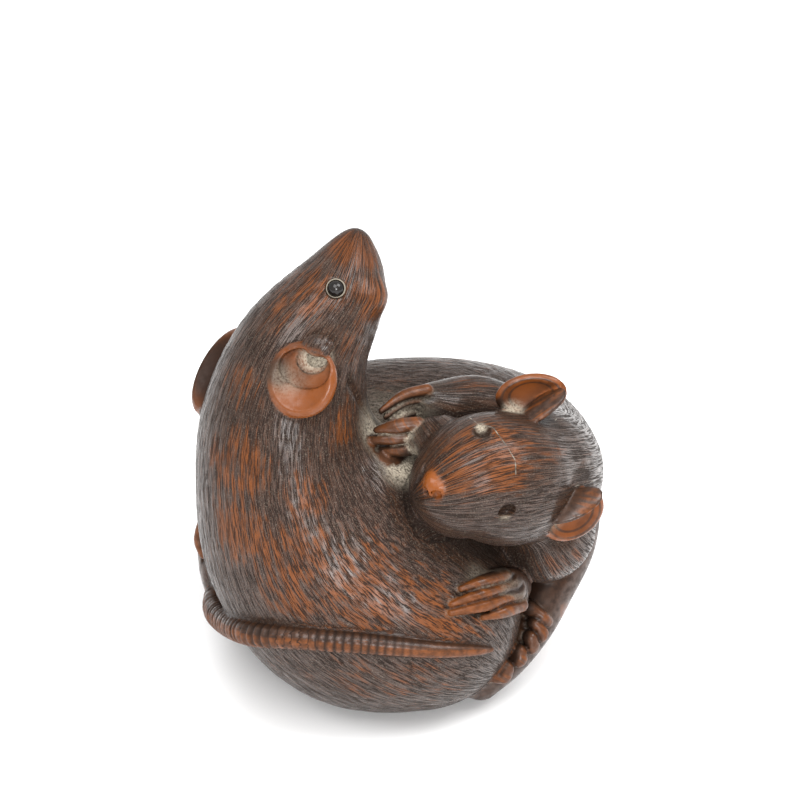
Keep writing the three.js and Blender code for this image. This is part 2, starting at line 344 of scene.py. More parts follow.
# A tuft of hair over that ear's upper end: [along, out, across] from its middle, and its half sizes.
EAR_TUFT = [3.15, 0.3, 0.9], [1.0, 0.6, 1.35]
# The small rat's ears are folded at the front: each fold's middle, half sizes, axis and face.
EAR_FOLDS = [
    ([12.2, -4.7, 29.1], [2.5, 0.4, 1.4], [0.8, 0.38, 0.46], [-0.44, -0.15, 0.89]),
    ([14.9, -9.5, 22.2], [2.75, 0.4, 1.4], [0.89, 0.28, 0.34], [-0.2, -0.45, 0.87]),
]
EARS = []


def carve_ear(centre, axis, face, half_sizes, rim, depth, soft):
    """An oval leaf, hollowed on the side that it faces. The hollow is smaller all round by the rim."""
    length, thickness, width = half_sizes
    leaf = Egg(centre, half_sizes, axis, face)
    add(leaf, soft, "ear back")
    hollow = [length - rim, depth * thickness, width - rim]
    take(Egg(leaf.at(0, HOLLOW_LIFT * thickness, 0), hollow, axis, face), HOLLOW_SOFTNESS, "ear")
    EARS.append(leaf)
    return leaf


def carve_ears():
    near = carve_ear(**BIG_NEAR_EAR)
    lie = BIG_NEAR_EAR["axis"], BIG_NEAR_EAR["face"]
    for along, across, length, width, floor in EAR_STEPS:
        take(Plug(near.at(along, STEP_TOP, across), [length, STEP_TOP - floor, width], *lie), 0.06, "ear")
    tuft_place, tuft_sizes = EAR_TUFT
    add(Egg(near.at(*tuft_place), tuft_sizes, *lie), 0.3, "big coat")
    for ear in (BIG_FAR_EAR, SMALL_FAR_EAR, SMALL_NEAR_EAR):
        carve_ear(**ear)
    for fold in EAR_FOLDS:
        add(Egg(*fold), 0.15, "digit")


# A paw's digits run from a knuckle over a middle joint to a tip; each row is [x, y, z] of all three.
NEAR_FINGERS = [
    [[8.9, -9.7, 15.0], [7.1, -11.4, 15.5], [5.3, -12.3, 15.4]],
    [[9.6, -9.6, 14.0], [7.0, -12.2, 14.8], [4.5, -13.4, 14.5]],
    [[10.1, -9.7, 13.0], [7.2, -12.6, 14.0], [4.4, -13.8, 14.0]],
    [[10.5, -9.6, 11.9], [8.9, -11.7, 12.7], [7.2, -12.7, 12.8]],
]
FAR_FINGERS = [
    [[2.3, -1.0, 28.5], [0.3, -2.0, 28.5], [-1.6, -3.2, 27.8]],
    [[2.1, -1.0, 27.8], [0.4, -2.0, 27.9], [-1.2, -3.2, 27.2]],
    [[1.7, -1.0, 27.2], [0.5, -2.0, 27.3], [-0.7, -3.2, 26.8]],
    [[1.4, -1.0, 26.5], [0.6, -2.0, 27.0], [-0.1, -3.2, 26.8]],
]
CHIN_FINGERS = [
    [[1.5, -5.4, 27.8], [-0.3, -5.6, 27.7], [-2.0, -5.4, 27.2]],
    [[1.6, -5.4, 26.7], [-0.6, -5.6, 26.6], [-2.8, -5.4, 26.1]],
    [[1.6, -5.4, 25.5], [-0.1, -5.6, 25.4], [-1.9, -5.4, 25.0]],
]
SMALL_TOES = [
    [[-17.4, 1.2, 10.1], [-17.8, 1.4, 11.5], [-17.5, 1.6, 13.8]],
    [[-17.4, 2.3, 9.3], [-17.8, 2.5, 10.8], [-17.4, 2.7, 12.9]],
    [[-17.5, 3.4, 8.6], [-17.8, 3.6, 10.1], [-17.4, 3.8, 12.0]],
    [[-17.5, 4.5, 7.8], [-17.8, 4.7, 9.3], [-17.4, 4.9, 11.0]],
]
BIG_TOES = [
    [[11.4, -5.4, 8.7], [12.4, -6.0, 8.1], [12.9, -5.7, 7.5]],
    [[11.9, -6.3, 7.7], [12.4, -6.7, 6.9], [12.3, -6.5, 6.4]],
    [[11.5, -7.1, 6.7], [11.6, -7.4, 6.0], [11.2, -7.3, 5.7]],
    [[10.5, -7.9, 5.7], [10.5, -8.3, 5.2], [10.0, -8.2, 5.0]],
    [[9.3, -8.9, 4.7], [9.1, -9.1, 4.0], [8.4, -9.2, 4.0]],
]
BIG_FAR_FINGERS = [
    [[-9.3, 11.0, 20.9], [-9.8, 13.2, 20.9], [-10.2, 15.6, 20.1]],
    [[-8.4, 11.0, 20.8], [-8.6, 13.2, 20.9], [-8.7, 15.6, 20.1]],
    [[-7.6, 11.0, 20.8], [-7.4, 13.2, 20.8], [-7.3, 15.6, 20.1]],
    [[-6.7, 11.0, 20.7], [-6.2, 13.2, 20.8], [-5.8, 15.6, 20.1]],
]
# The small rat's sole: its middle, half sizes, axis and face.
SMALL_SOLE = [-17.1, 2.2, 7.4], [3.0, 0.8, 1.8], [-0.19, 0.49, 0.85], [-1, 0, 0]
DIGIT_SOFTNESS = 0.08  # mm
DIGITS = []


def carve_digits(digits, radii):
    """The digits of one paw. The radii are those at a knuckle, a middle joint and a tip, mm."""
    for joints in digits:
        digit = Limb([[*joint, radius] for joint, radius in zip(joints, radii)], 3)
        add(digit, DIGIT_SOFTNESS, "digit")
        DIGITS.append(digit)


def carve_paws():
    for bones in NEAR_HAND:
        add(Limb(bones, 3), 0.5, "skin")
    carve_digits(NEAR_FINGERS, [0.66, 0.64, 0.34])
    carve_digits(FAR_FINGERS, [0.58, 0.56, 0.3])
    carve_digits(CHIN_FINGERS, [0.68, 0.68, 0.32])
    add(Egg(*SMALL_SOLE), 0.2, "skin")
    carve_digits(SMALL_TOES, [0.55, 0.55, 0.3])
    carve_digits(BIG_TOES, [0.75, 0.68, 0.6])
    carve_digits(BIG_FAR_FINGERS, [0.65, 0.62, 0.3])


# Where each eye of the big rat is set, and the way that it looks.
EYE_PLACES = {
    "eye_near": ([-5.5, -1.2, 38.9], [-0.075, -0.83, 0.556]),
    "eye_far": ([-8.3, 4.4, 37.15], [-0.825, 0.545, 0.165]),
}
EYE_HOLLOW = [0.9, 0.9, 0.9]
NOSE_LOBES = [[2.75, -12.0, 26.0], [3.4, -12.25, 25.7]]
LOBE_SHAPE = [1.05, 0.95, 0.75], [0.0, 0.53, 0.85], [0.0, -0.85, 0.53]  # half sizes, axis, face
# Each nostril, and each of the small rat's empty sockets: its middle, half sizes, axis and face.
NOSTRILS = [
    ([2.3, -12.4, 25.5], [0.5, 0.35, 0.35], [0.97, 0.13, 0.21], [0, -0.85, 0.53]),
    ([3.1, -13.0, 25.6], [0.5, 0.35, 0.35], [0.98, -0.1, -0.17], [0, -0.85, 0.53]),
]
FAR_SOCKET = [7.0, -9.5, 29.8], [0.8, 0.6, 0.8], [1, 0.05, 0.08], [-0.08, 0.02, 1]
NEAR_SOCKET = [9.1, -13.6, 24.2], [0.85, 0.6, 0.8], [0.88, 0.26, 0.41], [-0.48, 0.46, 0.74]


def carve_faces():
    for lobe in NOSE_LOBES:
        add(Egg(lobe, *LOBE_SHAPE), 0.4, "nose")
    for nostril in NOSTRILS:
        take(Egg(*nostril), 0.15, "nose")
    take(Egg(*FAR_SOCKET), 0.1, "skin")
    take(Egg(*NEAR_SOCKET), 0.05, "skin")
    for centre, _ in EYE_PLACES.values():
        take(Egg(centre, EYE_HOLLOW), 0.1, "skin")


TAILS = [Limb(FRONT_TAIL, 8, ringed=True), Limb(BACK_TAIL, 8, ringed=True)]


def carve_tails_and_underside():
    for tail, finish in zip(TAILS, ("front tail", "back tail")):
        add(tail, 0.12, finish)
    take(Limb(CORD_TUNNEL, 5), 0.3, "skin")
    take(Flat(), 0.3, "underside")


carve_bodies()
carve_ears()
carve_faces()
carve_paws()
carve_tails_and_underside()


def joined(first, second, soft):
    """The nearer of two distances, rounded where they are alike."""
    blend = np.maximum(soft - np.abs(first - second), 0) / soft
    return np.minimum(first, second) - blend * blend * soft / 4


ADDED_REACH = 2.0  # how far outside its box a form that adds wood is reckoned, mm
TAKEN_REACH = 0.5  # and one that takes wood away


def wood(points):
    """How far points are from the carving's surface, mm; less than nothing inside the wood."""
    depth = np.full(len(points), FAR)
    for form, soft, _, takes in CARVING:
        margin = soft + (TAKEN_REACH if takes else ADDED_REACH)
        near = np.flatnonzero(within(points, form.low - margin, form.high + margin))
        if not len(near):
            continue
        gap = form.distance(points[near])
        depth[near] = -joined(-depth[near], gap, soft) if takes else joined(depth[near], gap, soft)
    return depth


# ---------------------------------------------------------------- surface of the carving
CORNERS = np.array([(a, b, c) for a in (0, 1) for b in (0, 1) for c in (0, 1)])
NEXT_CORNER = (4, 2, 1)  # from a corner's number to that of the next corner along x, y or z
BLOCK_REACH = 0.95  # from a block's corner to wherever the surface may cross it, to the block's edge


def crossed_cells(low, counts):
    """The grid's cells that the surface crosses, and the distance at the 8 corners of each.

    The search starts with large blocks. Those that the surface may cross are cut in eight, and again
    searched, until a block is one cell.
    """
    shape, block = counts + 1, FIRST_BLOCK
    blocks = np.argwhere(np.ones(counts // block, bool)) * block
    while True:
        corners = (blocks[:, None] + block * CORNERS).reshape(-1, 3)
        nodes, back = np.unique(np.ravel_multi_index(corners.T, shape), return_inverse=True)
        gaps = wood(low + CELL * np.stack(np.unravel_index(nodes, shape), 1))[back.ravel()].reshape(-1, 8)
        if block == 1:
            break
        near = (np.abs(gaps) < BLOCK_REACH * CELL * block).any(1)
        block //= 2
        blocks = (blocks[near][:, None] + block * CORNERS).reshape(-1, 3)
    inside = (gaps < 0).sum(1)
    crossed = (inside > 0) & (inside < 8)
    return blocks[crossed], gaps[crossed]


def surface_nets(cells, gaps, counts):
    """One vertex in the middle of each cell's crossings, and a quad round each crossed edge of the grid."""
    axes = np.eye(3, dtype=int)
    total, hits = np.zeros((len(cells), 3)), np.zeros(len(cells))
    for corner, place in enumerate(CORNERS):
        for axis in range(3):
            if place[axis]:
                continue
            start, end = gaps[:, corner], gaps[:, corner + NEXT_CORNER[axis]]
            cut = (start < 0) != (end < 0)
            share = start[cut] / (start[cut] - end[cut])
            total[cut] += place + share[:, None] * axes[axis]
            hits += cut
    number = np.full(counts, -1, np.int32)
    number[tuple(cells.T)] = np.arange(len(cells))
    quads = []
    for axis in range(3):
        leaving = gaps[:, 0] < 0
        cut = np.flatnonzero(leaving != (gaps[:, NEXT_CORNER[axis]] < 0))
        u, v = axes[(axis + 1) % 3], axes[(axis + 2) % 3]
        ring = np.stack([number[tuple((cells[cut] - back).T)] for back in (u + v, v, 0 * u, u)], 1)
        quads.append(np.where(leaving[cut][:, None], ring, ring[:, ::-1]))
    return cells + total / hits[:, None], np.vstack(quads)


# ---------------------------------------------------------------- combing and finish of the surface
GIRTH = 8.0  # hair pitch is true to size where a limb is this thick, mm
COMB_SOFTNESS = 3.0  # how far along the comb line a place takes its direction from, mm
COMB_BATCH = 20000  # points combed at a time, to spare memory
FIRST_SIDE = [0.3, 1.0, 0.2]  # the direction from which places round a comb line are reckoned


def comb_frames(line):
    """Two directions across the line at each of its points, carried along it without twisting."""
    tangents = np.gradient(line, axis=0)
    tangents /= np.linalg.norm(tangents, axis=1)[:, None]
    side = unit(np.cross(tangents[0], FIRST_SIDE))
    sides = []
    for tangent in tangents:
        side = unit(side - (side @ tangent) * tangent)
        sides.append(side)
    sides = np.array(sides)
    return sides, np.cross(tangents, sides)


def comb(points, stations):
    """Place along the comb line, place round it on a drum of GIRTH, and distance from it."""
    line = smooth_line(stations)
    along = lengths_along(line)
    sides, fronts = comb_frames(line)
    place = np.zeros((len(points), 4))
    for start in range(0, len(points), COMB_BATCH):
        part = points[start:start + COMB_BATCH]
        offset = part[:, None] - line[None]
        squared = (offset**2).sum(2)
        weight = np.exp((squared.min(1)[:, None] - squared) / (2 * COMB_SOFTNESS**2))
        weight /= weight.sum(1)[:, None]
        across = (weight * (offset * sides).sum(2)).sum(1)
        ahead = (weight * (offset * fronts).sum(2)).sum(1)
        girth = np.maximum(np.hypot(across, ahead), 1e-3)
        rows = [weight @ along, across / girth * GIRTH, ahead / girth * GIRTH, girth]
        place[start:start + COMB_BATCH] = np.stack(rows, 1)
    return place


def eased(value, low, high):
    """Nothing below low, one above high, and an even curve between."""
    share = np.clip((value - low) / (high - low), 0, 1)
    return share * share * (3 - 2 * share)


CUT_FIRST = 0.02  # by how much a cut's own finish goes before that of the wood round it, mm


def finish_distances(points):
    """Distance from each kind of finish, to tell which one the surface has at each point."""
    kinds = {}
    for form, _, finish, takes in CARVING:
        near = within(points, form.low - ADDED_REACH, form.high + ADDED_REACH)
        gap = kinds.setdefault(finish, np.full(len(points), FAR))
        if near.any():
            found = form.distance(points[near])
            gap[near] = np.minimum(gap[near], np.abs(found) - CUT_FIRST if takes else found)
    return kinds


COATS = ("big coat", "small coat", "small arm", "big arm")
SMOOTH_FINISHES = ("skin", "digit", "ear", "ear back", "nose", "underside")
LOCKS_ROUND = 65  # locks of hair round a coat
LOCK_DEPTH = 0.035  # mm
LOCK_GIRTH = [5.0, 7.0]  # locks come in where a limb grows this thick, mm
# How the locks waver: [how far, turn to each mm along the limb, turns to one round it], radians
LOCK_WAVERS = [[1.6, 0.7, 3], [1.1, 1.9, -5]]
SEAM_DEPTH = 0.2  # how deep the cut between two digits goes, mm
SMALL_EARS_FROM = [5.0, 6.0]  # the small rat's ears lie beyond this along x, the big rat's before it, mm
EAR_RINGS = (0.62, 0.83)  # cuts inside the small rat's ears, as shares of the way out to the rim
EAR_RING_DEPTH = 0.09  # mm
# Cuts of the graver: [points, depth, width], mm
ENGRAVED_LINES = [
    [[[-4.3, -4.9, 31.6], [-3.8, -4.6, 30.3], [-3.3, -4.2, 28.7], [-2.7, -3.3, 27.1]], 0.25, 0.5],
    [[[2.0, -10.6, 26.9], [1.9, -11.1, 26.4], [1.4, -11.1, 25.5], [1.0, -10.7, 24.5]], 0.25, 0.3],
    [[[1.3, -11.3, 24.1], [2.0, -12.3, 24.8], [2.8, -12.9, 25.2], [3.5, -13.0, 26.0]], 0.22, 0.25],
    [[[3.1, -12.8, 26.4], [3.1, -12.7, 25.5]], 0.12, 0.2],
]


def coats_of(gaps):
    """The number of the comb line that each point's hair follows."""
    return np.stack([gaps[name] for name in COMB_LINES]).argmin(0)


def combing(points, gaps):
    """Every point's place on the comb line of its own coat, and its distance from that line."""
    coat = coats_of(gaps)
    place = np.zeros((len(points), 4))
    for index, line in enumerate(COMB_LINES.values()):
        here = coat == index
        place[here] = comb(points[here], line)
    return place


def locks(place):
    """Depth of the cuts between locks of hair, from 0 on a lock to 1 in a cut."""
    turn = np.arctan2(place[:, 2], place[:, 1])
    waver = sum(size * np.sin(along * place[:, 0] + around * turn) for size, along, around in LOCK_WAVERS)
    return (0.5 + 0.5 * np.sin(LOCKS_ROUND * turn + waver)) * eased(place[:, 3], *LOCK_GIRTH)


def digit_seams(points):
    """How near each point is to the cut between two digits, and how far it is from the nearest digit."""
    first, second = np.full(len(points), FAR), np.full(len(points), FAR)
    for digit in DIGITS:
        near = np.flatnonzero(within(points, digit.low - 1, digit.high + 1))
        gap = digit.distance(points[near])
        second[near] = np.minimum(second[near], np.maximum(first[near], gap))
        first[near] = np.minimum(first[near], gap)
    return eased(first - second, -0.3, 0.0) * eased(-first, -0.6, -0.3), first


def ear_reach(points):
    """How far out each point is in the nearest ear, from 0 at its middle to 1 at its rim."""
    reach = np.full(len(points), 2.0)
    for leaf in EARS:
        near = np.flatnonzero(within(points, leaf.low - 0.3, leaf.high + 0.3))
        flat = (points[near] - leaf.centre) @ leaf.turn.T
        out = np.hypot(flat[:, 0] / leaf.half[0], flat[:, 2] / leaf.half[2])
        reach[near] = np.minimum(reach[near], out)
    return reach


def line_gap(points, stations):
    """Distance from a line of straight stretches."""
    gap = np.full(len(points), FAR)
    for start, end in zip(np.array(stations), np.array(stations[1:])):
        run = end - start
        share = np.clip((points - start) @ run / (run @ run), 0, 1)
        gap = np.minimum(gap, np.linalg.norm(points - start - share[:, None] * run, axis=1))
    return gap


def engraved(points):
    """How deep the graver cut at each point, mm."""
    gaps = finish_distances(points)
    furred = np.minimum.reduce([gaps[name] for name in COATS])
    others = np.minimum.reduce([gap for name, gap in gaps.items() if name not in COATS])
    depth = LOCK_DEPTH * locks(combing(points, gaps)) * eased(others - furred, 0.0, 0.4)
    seam, _ = digit_seams(points)
    depth += SEAM_DEPTH * seam
    small_ears = eased(points[:, 0], *SMALL_EARS_FROM) * eased(others - gaps["ear"], -0.02, 0.0)
    for ring in EAR_RINGS:
        depth += EAR_RING_DEPTH * small_ears * eased(-np.abs(ear_reach(points) - ring), -0.07, -0.02)
    for stations, deep, wide in ENGRAVED_LINES:
        depth = np.maximum(depth, deep * eased(-line_gap(points, stations), -wide, 0.0))
    return depth


# Where handling has worn the stain off: [x, y, z, radius, how much]
WORN_PLACES = [
    [-14.0, -9.0, 26.0, 4.0, 1.0],
    [-14.0, -11.0, 20.5, 4.0, 1.0],
    [-13.6, -5.6, 32.0, 2.5, 0.7],
    [-7.7, -11.0, 24.1, 3.0, 0.6],
    [-8.6, -13.0, 17.5, 6.0, 0.8],
    [-3.0, -13.8, 15.5, 6.0, 0.9],
    [3.0, -14.4, 13.5, 5.0, 0.8],
    [6.5, -13.2, 13.0, 3.0, 0.6],
    [0.0, -15.4, 8.5, 6.0, 0.5],
    [-2.1, -0.5, 37.4, 2.8, 1.0],
    [-3.8, 2.4, 40.6, 3.2, 1.0],
    [-4.6, -7.4, 29.0, 2.5, 0.8],
    [-8.5, -1.5, 38.0, 4.5, 0.65],
    [-3.6, -3.6, 35.2, 2.4, 0.6],
    [8.0, -11.3, 28.6, 4.8, 1.0],
    [5.2, -12.4, 27.2, 2.6, 1.0],
    [12.5, -8.5, 27.8, 3.0, 0.6],
    [2.9, -12.3, 26.2, 2.3, 1.0],
    [13.2, -3.8, 29.9, 1.4, 0.7],
    [16.2, -9.4, 21.9, 1.6, 0.6],
    [13.5, -6.4, 13.2, 4.0, 0.45],
    [6.4, -0.5, 27.8, 3.0, 0.5],
    [8.0, 15.0, 18.0, 7.0, 0.5],
    [-9.0, 17.0, 12.0, 7.0, 0.6],
]
# Where dust has settled: [x, y, z, radius, how much]
DUSTY_PLACES = [
    [0.3, -5.9, 24.6, 2.6, 1.0],
    [-0.6, -4.5, 27.0, 3.0, 0.9],
    [0.0, 0.5, 25.5, 4.0, 0.9],
    [-2.0, 7.0, 21.0, 4.0, 0.8],
    [-7.2, -5.2, 34.4, 1.5, 1.0],
    [-9.8, -7.0, 33.4, 1.7, 0.25],
    [9.8, -4.3, 28.3, 1.1, 0.8],
    [13.0, -8.6, 20.6, 1.4, 0.4],
    [7.2, -11.0, 15.9, 1.6, 0.4],
    [6.9, -8.8, 29.7, 0.55, 1.0],
    [9.0, -13.8, 23.6, 0.6, 1.0],
]
# Where the wood is painted dark: stain that wear left, as on the back of the near hand, and painted shade in
# the small rat's empty sockets and in the big rat's ears: [x, y, z, radius, how much]
STAINED_AND_SHADED_PLACES = [
    [7.0, -9.6, 29.4, 1.1, 1.0],
    [9.1, -13.3, 24.4, 1.05, 1.0],
    [-15.5, 1.2, 29.1, 4.5, 1.0],
    [-10.3, -6.5, 33.8, 1.9, 0.9],
    [-8.6, -6.8, 33.4, 1.6, 0.5],
    [9.6, -9.0, 13.7, 1.8, 0.8],
    [15.2, -1.0, 11.0, 3.0, 0.5],
]
PATCH_FADE = [1.3, 0.35]  # a patch is gone beyond the first share of its radius, and full within the second
# How far out of the surface a corner is felt, and how much each reach counts, mm and share; the deepest
# corners are darkened with painted shade
HOLLOW_REACHES = [[0.4, 0.8], [1.0, 0.9], [2.5, 1.0]]
EDGE_REACH = 0.8  # how far into the wood an edge is felt, mm
TAIL_RUBBED = [-0.62, -0.3]  # minus how far up a tail faces: stained at the first, rubbed at the second


def painted(points, places):
    """The strongest of several soft round patches at each point."""
    gone, full = PATCH_FADE
    mask = np.zeros(len(points))
    for x, y, z, radius, strength in places:
        gap = np.linalg.norm(points - [x, y, z], axis=1)
        mask = np.maximum(mask, strength * eased(-gap, -radius * gone, -radius * full))
    return mask


def patina(points, normals):
    """The masks that the boxwood's finish is mixed from, one value of each for every vertex."""
    gaps = finish_distances(points)
    place = combing(points, gaps)
    tails = np.minimum(gaps["front tail"], gaps["back tail"])
    for tail in TAILS:
        gap, along = tail.follow(points)
        place[gap < 0.3, 0] = along[gap < 0.3]
    furred = np.minimum.reduce([gaps[name] for name in COATS])
    smooth = np.minimum.reduce([gaps[name] for name in SMOOTH_FINISHES])
    hollow = np.zeros(len(points))
    for reach, share in HOLLOW_REACHES:
        shut = 1 - wood(points + reach * normals) / reach
        hollow = np.maximum(hollow, share * np.clip(shut, 0, 1))
    edge = np.clip(1 + wood(points - EDGE_REACH * normals) / EDGE_REACH, 0, 1)
    tail = eased(np.minimum(furred, smooth) - tails, -0.1, 0.1)
    worn = painted(points, WORN_PLACES)
    worn = np.where(tail > 0.5, eased(-normals[:, 2], *TAIL_RUBBED), worn)
    ear = np.minimum(gaps["ear"], gaps["ear back"])
    seam, digit_gap = digit_seams(points)
    others = np.minimum(furred, gaps["skin"])
    return {
        "comb": place[:, :3],
        "girth": place[:, 3],
        "bare": eased(furred - np.minimum(smooth, tails), -0.1, 0.1),
        "tail": tail,
        "ear": eased(np.minimum(others, gaps["digit"]) - ear, -0.1, 0.1),
        "ear_reach": ear_reach(points),
        "digit": eased(np.minimum(others, tails) - digit_gap, -0.1, 0.1),
        "seam": seam,
        "outline": eased(-np.abs(others - digit_gap), -0.22, -0.03) * eased(-digit_gap, -0.5, -0.2),
        "nose": eased(furred - gaps["nose"], -0.15, 0.25),
        "hollow": hollow,
        "edge": edge,
        "worn": worn,
        "small_ear": eased(points[:, 0], *SMALL_EARS_FROM),
        "dark": painted(points, STAINED_AND_SHADED_PLACES),
        "dust": painted(points, DUSTY_PLACES),
    }


def mesh_of(name, vertices, faces):
    """A mesh of faces that all have as many corners as each other."""
    mesh = bpy.data.meshes.new(name)
    mesh.vertices.add(len(vertices))
    mesh.vertices.foreach_set("co", np.asarray(vertices, np.float32).ravel())
    mesh.loops.add(faces.size)
    mesh.loops.foreach_set("vertex_index", faces.ravel().astype(np.int32))
    mesh.polygons.add(len(faces))
    mesh.polygons.foreach_set("loop_start", np.arange(0, faces.size, faces.shape[1], dtype=np.int32))
    mesh.update(calc_edges=True)
    mesh.validate()
    return mesh


def piece_of(name, mesh):
    """A mesh, put into the scene as an object."""
    made = bpy.data.objects.new(name, mesh)
    bpy.context.scene.collection.objects.link(made)
    return made


def thinned(mesh, most):
    """The same surface with fewer triangles, close together only where it bends."""
    rough = piece_of("carving_before_thinning", mesh)
    thin = rough.modifiers.new("thin", "DECIMATE")
    thin.ratio = min(1.0, most / (2 * len(mesh.polygons)))
    ready = rough.evaluated_get(bpy.context.evaluated_depsgraph_get())
    result = bpy.data.meshes.new_from_object(ready)
    bpy.data.objects.remove(rough)
    bpy.data.meshes.remove(mesh)
    return result


def set_attributes(mesh, values):
    """Every vertex's masks, put where the boxwood's nodes can read them."""
    for name, value in values.items():
        vector = value.ndim == 2
        attribute = mesh.attributes.new(name, "FLOAT_VECTOR" if vector else "FLOAT", "POINT")
        attribute.data.foreach_set("vector" if vector else "value", value.astype(np.float32).ravel())


def places_and_normals(mesh):
    """Every vertex's place, mm, and the direction that the surface faces there."""
    places, normals = np.zeros(3 * len(mesh.vertices)), np.zeros(3 * len(mesh.vertices))
    mesh.vertices.foreach_get("co", places)
    mesh.vertex_normals.foreach_get("vector", normals)
    return places.reshape(-1, 3) / MM, normals.reshape(-1, 3)


WOOD_MARGIN = 1.0  # space searched round the frame's solid, mm


def carved_piece():
    """Both rats as one closed mesh, carved, engraved, thinned and marked for its finish."""
    box_low, box_high = (np.array(corner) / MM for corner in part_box("rats_carving"))
    low = box_low - WOOD_MARGIN
    counts = FIRST_BLOCK * np.ceil((box_high + WOOD_MARGIN - low) / (CELL * FIRST_BLOCK)).astype(int)
    vertices, quads = surface_nets(*crossed_cells(low, counts), counts)
    mesh = mesh_of("rats", (low + CELL * vertices) * MM, quads)
    places, normals = places_and_normals(mesh)
    places -= np.clip(wood(places), -CELL, CELL)[:, None] * normals
    mesh.vertices.foreach_set("co", (places * MM).ravel())
    mesh.update()
    places, normals = places_and_normals(mesh)
    places -= engraved(places)[:, None] * normals
    mesh.vertices.foreach_set("co", (places * MM).ravel())
    mesh.update()
    mesh = thinned(mesh, MOST_TRIANGLES)
    mesh.name = "carved_rats"
    mesh.shade_smooth()
    set_attributes(mesh, patina(*places_and_normals(mesh)))
    return piece_of("carved_rats", mesh)


# ---------------------------------------------------------------- materials
WORN_WOOD = (0.148, 0.042, 0.007, 1)
POLISHED_WOOD = (0.165, 0.044, 0.007, 1)
NOSE_WOOD = (0.20, 0.055, 0.010, 1)
BROWN_STAIN = (0.045, 0.019, 0.009, 1)
DARK_STAIN_AND_SHADE = (0.016, 0.008, 0.005, 1)
# the colour of dust, also painted on the hair as pale specks of sheen
DUST_AND_SHEEN = (0.47, 0.41, 0.32, 1)
BLACK_HORN = (0.006, 0.005, 0.005, 1)
PALE_RING_COLOUR = (0.20, 0.17, 0.13, 1)


def put(tree, kind, inputs=None, **settings):
    """A new node with its settings, each input a plain value or another node's output."""
    made = tree.nodes.new(kind)
    for name, value in settings.items():
        setattr(made, name, value)
    for key, value in (inputs or {}).items():
        if isinstance(value, bpy.types.NodeSocket):
            tree.links.new(value, made.inputs[key])
        else:
            made.inputs[key].default_value = value
    return made


def calc(tree, operation, first, second=0.0, third=0.0, clamp=False):
    """The result of a sum on plain values and outputs of nodes."""
    inputs = {0: first, 1: second, 2: third}
    return put(tree, "ShaderNodeMath", inputs, operation=operation, use_clamp=clamp).outputs[0]


def ramp(tree, value, low, high, out_low=0.0, out_high=1.0):
    """Carries value from one range to another, smoothly at both ends, and no further."""
    inputs = {"Value": value, "From Min": low, "From Max": high, "To Min": out_low, "To Max": out_high}
    return put(tree, "ShaderNodeMapRange", inputs, interpolation_type="SMOOTHSTEP").outputs[0]


def mixed(tree, share, first, second):
    """The first colour, and the second as far as share goes."""
    made = put(tree, "ShaderNodeMix", {0: share}, data_type="RGBA")
    for socket, value in ((made.inputs[6], first), (made.inputs[7], second)):
        if isinstance(value, bpy.types.NodeSocket):
            tree.links.new(value, socket)
        else:
            socket.default_value = value
    return made.outputs[2]


def blended(tree, share, first, second):
    """The first number, and the second as far as share goes."""
    made = put(tree, "ShaderNodeMix", {0: share, 2: first, 3: second}, data_type="FLOAT")
    return made.outputs[0]


def noise(tree, vector, scale, detail=2.0, roughness=0.5):
    inputs = {"Vector": vector, "Scale": scale, "Detail": detail, "Roughness": roughness}
    return put(tree, "ShaderNodeTexNoise", inputs).outputs[0]


def stretched(tree, vector, lengthwise, crosswise):
    """Comb coordinates drawn out lengthwise, so that a noise of them turns to strokes."""
    inputs = {0: vector, 1: (lengthwise, crosswise, crosswise)}
    return put(tree, "ShaderNodeVectorMath", inputs, operation="MULTIPLY").outputs[0]


def new_group(name, inputs, outputs):
    """A node group, what its user gives it and what it puts out."""
    group = bpy.data.node_groups.new(name, "ShaderNodeTree")
    for label, kind in inputs:
        group.interface.new_socket(label, in_out="INPUT", socket_type=kind)
    for label, kind in outputs:
        group.interface.new_socket(label, in_out="OUTPUT", socket_type=kind)
    return group, group.nodes.new("NodeGroupInput").outputs, group.nodes.new("NodeGroupOutput").inputs


HEAD_STROKES = 7.0  # how much finer than the comb coordinates the strokes of a head are, across their lie
BODY_STROKES = 12.5  # and those of a body
BODY_GIRTH = [5.6, 7.4]  # a head's strokes turn to a body's where a limb grows this thick, mm
STROKE_LENGTH = 0.6  # how much finer than the comb coordinates all strokes are along their lie
STROKE_WAVER = 0.45  # how far a stroke strays from its comb line, mm
RIDGE_LEVELS = [0.43, 0.56]  # the noise of the strokes is a cut below the first and a ridge above the second
WEAR_ON_RIDGES = 0.035  # how much full wear lifts that noise, which widens the ridges


